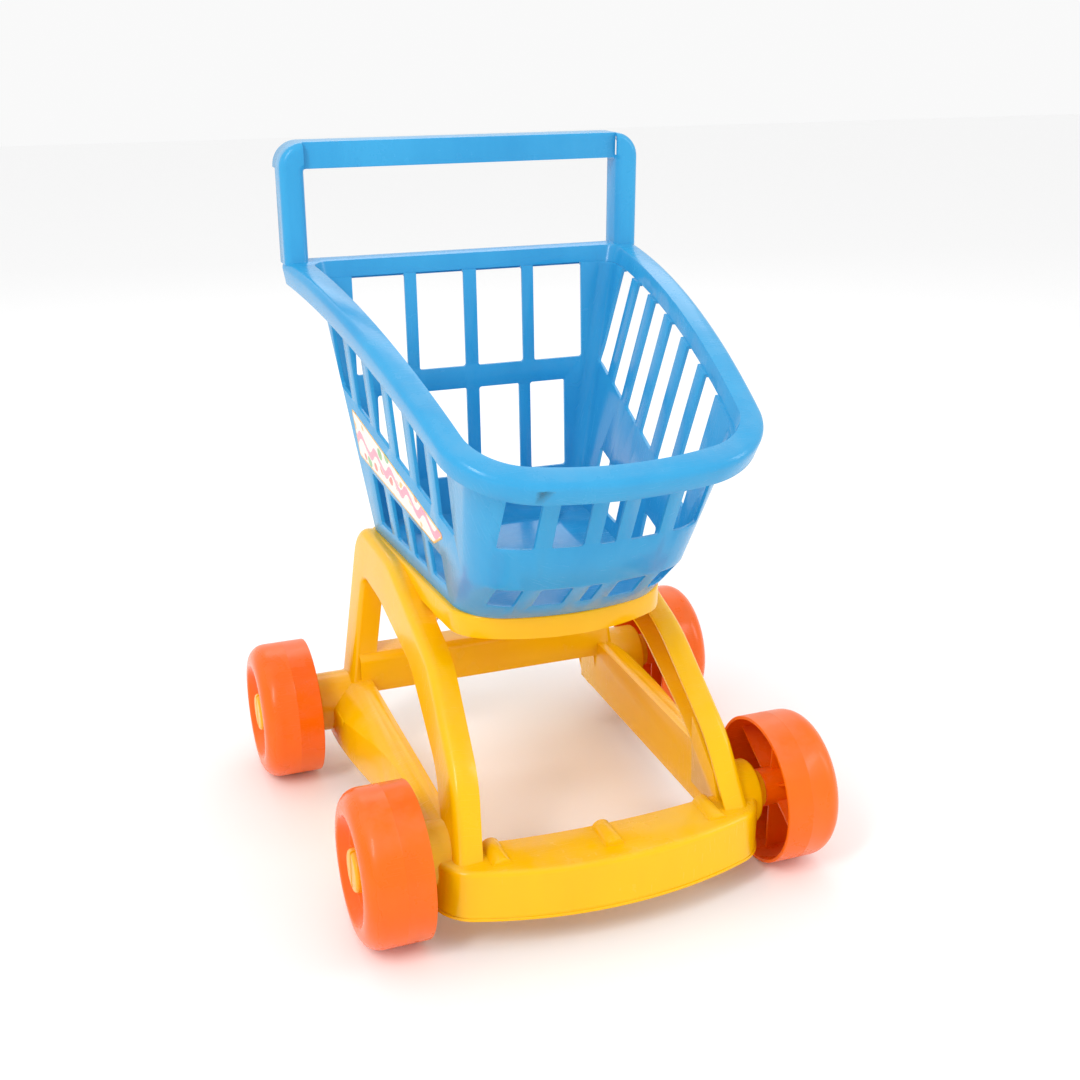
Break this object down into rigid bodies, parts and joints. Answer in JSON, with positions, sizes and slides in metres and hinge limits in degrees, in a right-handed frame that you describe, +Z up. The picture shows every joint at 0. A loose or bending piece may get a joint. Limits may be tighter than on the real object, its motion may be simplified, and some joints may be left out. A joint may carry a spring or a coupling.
{
  "type": "toy shopping cart",
  "caption": "Toy shopping cart: moulded slotted basket with a portal handle, screwed to an arched chassis that rolls on wide dished wheels turning on snap-in pins.",
  "frame": {"origin": "on the floor under the middle of the cart's bounding box", "axes": "+Z up, the cart's front faces -Y, its handle is at +Y, and it is symmetric across X = 0"},
  "size_m": [0.374, 0.353, 0.4845],
  "materials": {
    "basket_blue": "glossy sky-blue moulded plastic",
    "chassis_yellow": "glossy warm-yellow moulded plastic",
    "wheel_orange": "glossy orange-red moulded plastic",
    "label_film": "printed film with a plain coloured pattern",
    "screw_steel": "zinc-plated"
  },
  "bodies": {
    "cart": {"basket": "basket_blue", "chassis": "chassis_yellow", "label_left": "label_film", "label_right": "label_film", "basket_screws": "screw_steel", "wheel_pin_front_left": "chassis_yellow", "wheel_pin_front_right": "chassis_yellow", "wheel_pin_rear_left": "chassis_yellow", "wheel_pin_rear_right": "chassis_yellow"},
    "wheel_front_left": {"wheel_front_left": "wheel_orange"},
    "wheel_front_right": {"wheel_front_right": "wheel_orange"},
    "wheel_rear_left": {"wheel_rear_left": "wheel_orange"},
    "wheel_rear_right": {"wheel_rear_right": "wheel_orange"}
  },
  "joints": [
    {"name": "wheel_front_left_spin", "type": "hinge", "parent": "cart", "child": "wheel_front_left", "pos_m": [-0.1465, -0.11697, 0.0525], "axis": [1, 0, 0], "continuous": true},
    {"name": "wheel_front_right_spin", "type": "hinge", "parent": "cart", "child": "wheel_front_right", "pos_m": [0.1465, -0.11697, 0.0525], "axis": [1, 0, 0], "continuous": true},
    {"name": "wheel_rear_left_spin", "type": "hinge", "parent": "cart", "child": "wheel_rear_left", "pos_m": [-0.165, 0.12403, 0.0525], "axis": [1, 0, 0], "continuous": true},
    {"name": "wheel_rear_right_spin", "type": "hinge", "parent": "cart", "child": "wheel_rear_right", "pos_m": [0.165, 0.12403, 0.0525], "axis": [1, 0, 0], "continuous": true}
  ]
}
